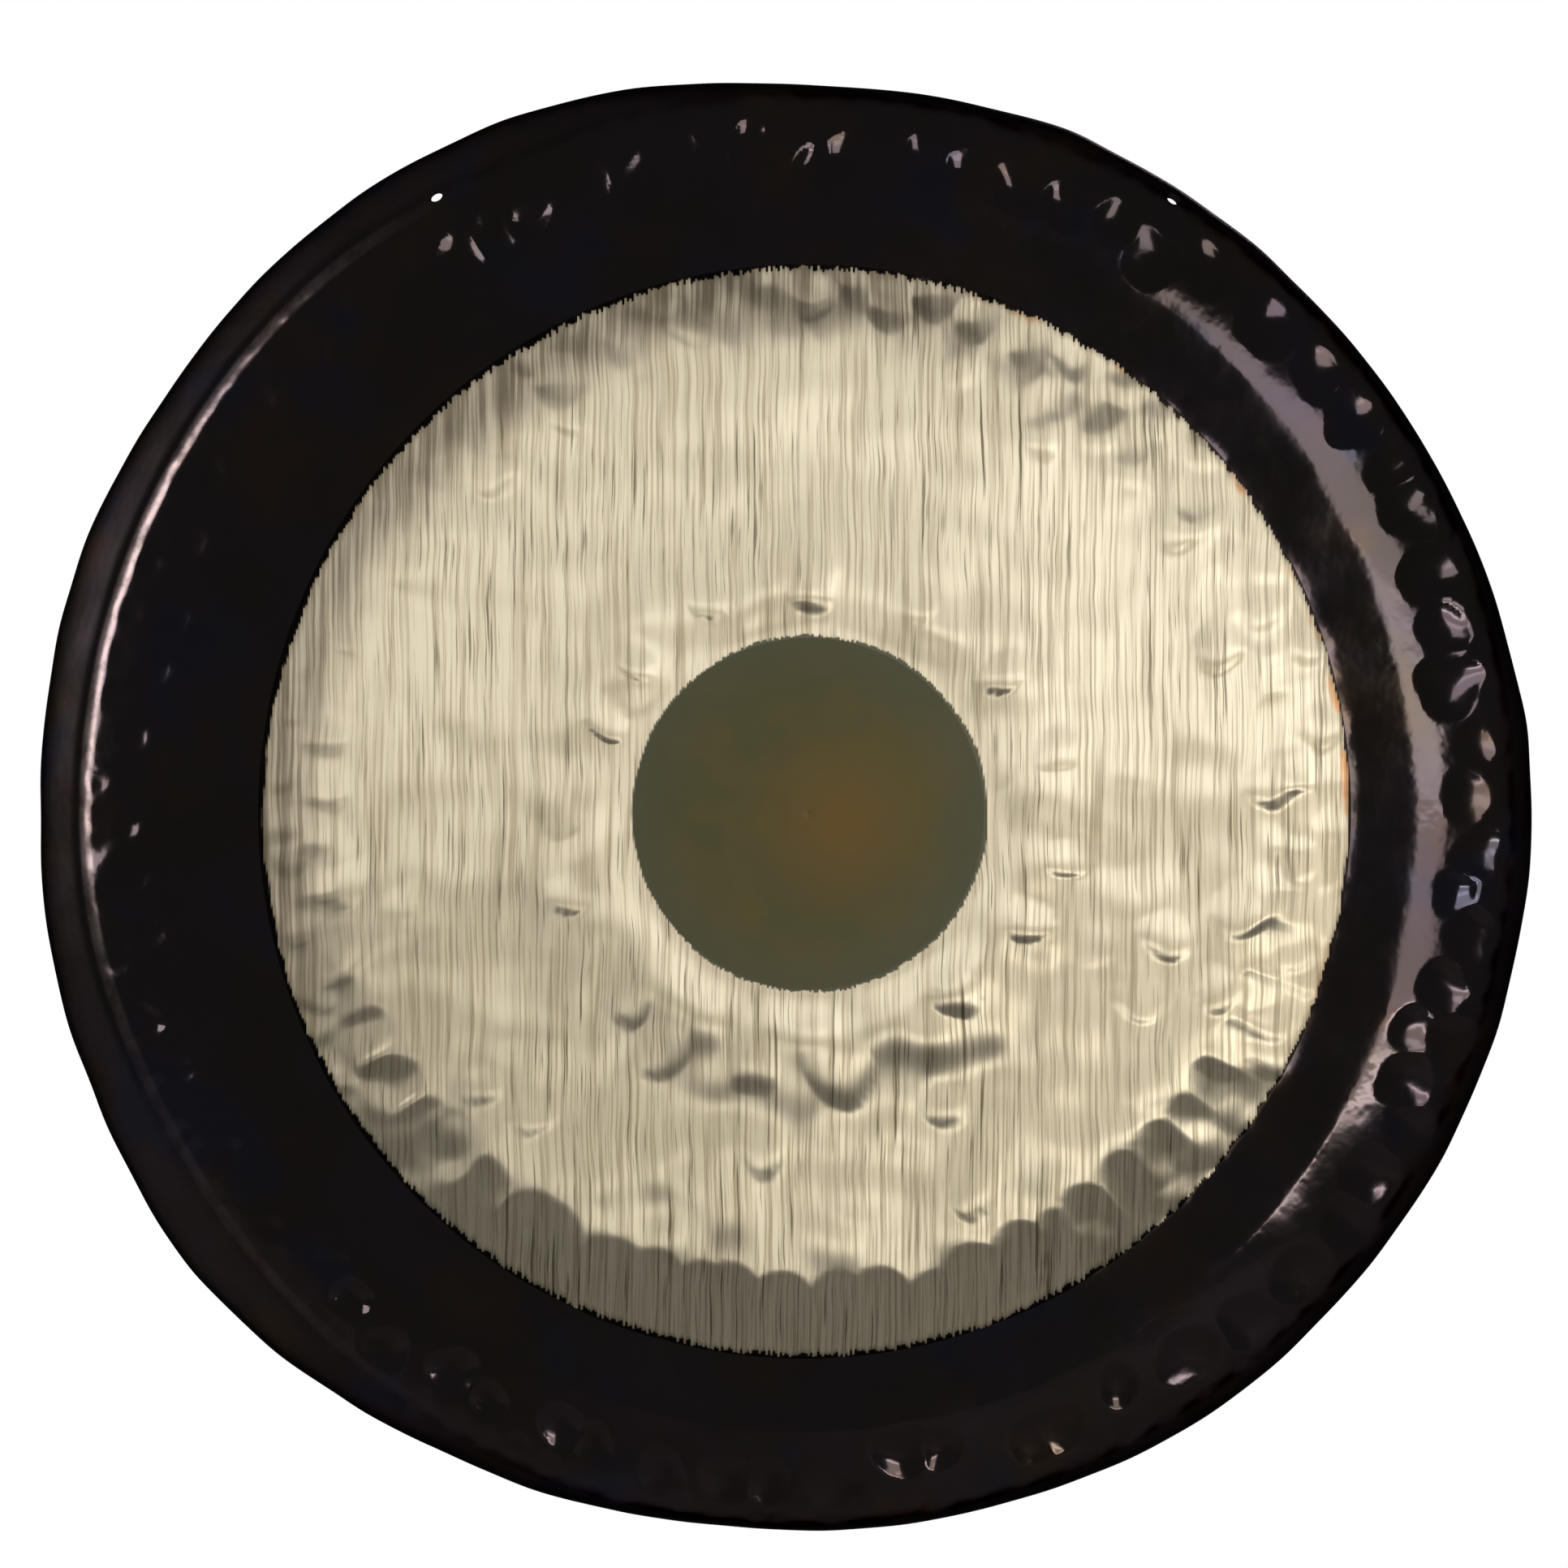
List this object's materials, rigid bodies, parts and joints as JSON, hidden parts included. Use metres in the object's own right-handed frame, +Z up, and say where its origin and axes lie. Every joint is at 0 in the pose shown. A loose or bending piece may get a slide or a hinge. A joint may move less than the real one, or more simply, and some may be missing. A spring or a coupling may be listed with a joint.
{
  "type": "tam tam gong",
  "caption": "Large round hammered gong with a turned-back rim and a hollow back, hung upright on cords through bare holes beside its top.",
  "frame": {"origin": "centre of the gong's box", "axes": "+Z up as the gong hangs, -Y the way the struck face looks, +Y out of the hollow back, +X to the right seen from in front"},
  "size_m": [0.9669, 0.0782, 0.938],
  "materials": {
    "black_nickel_silver": "hammered, with dark mill oxide; on the front a ring is scraped bright round an olive disc"
  },
  "bodies": {
    "root": {"gong_disc": "black_nickel_silver"}
  },
  "joints": []
}
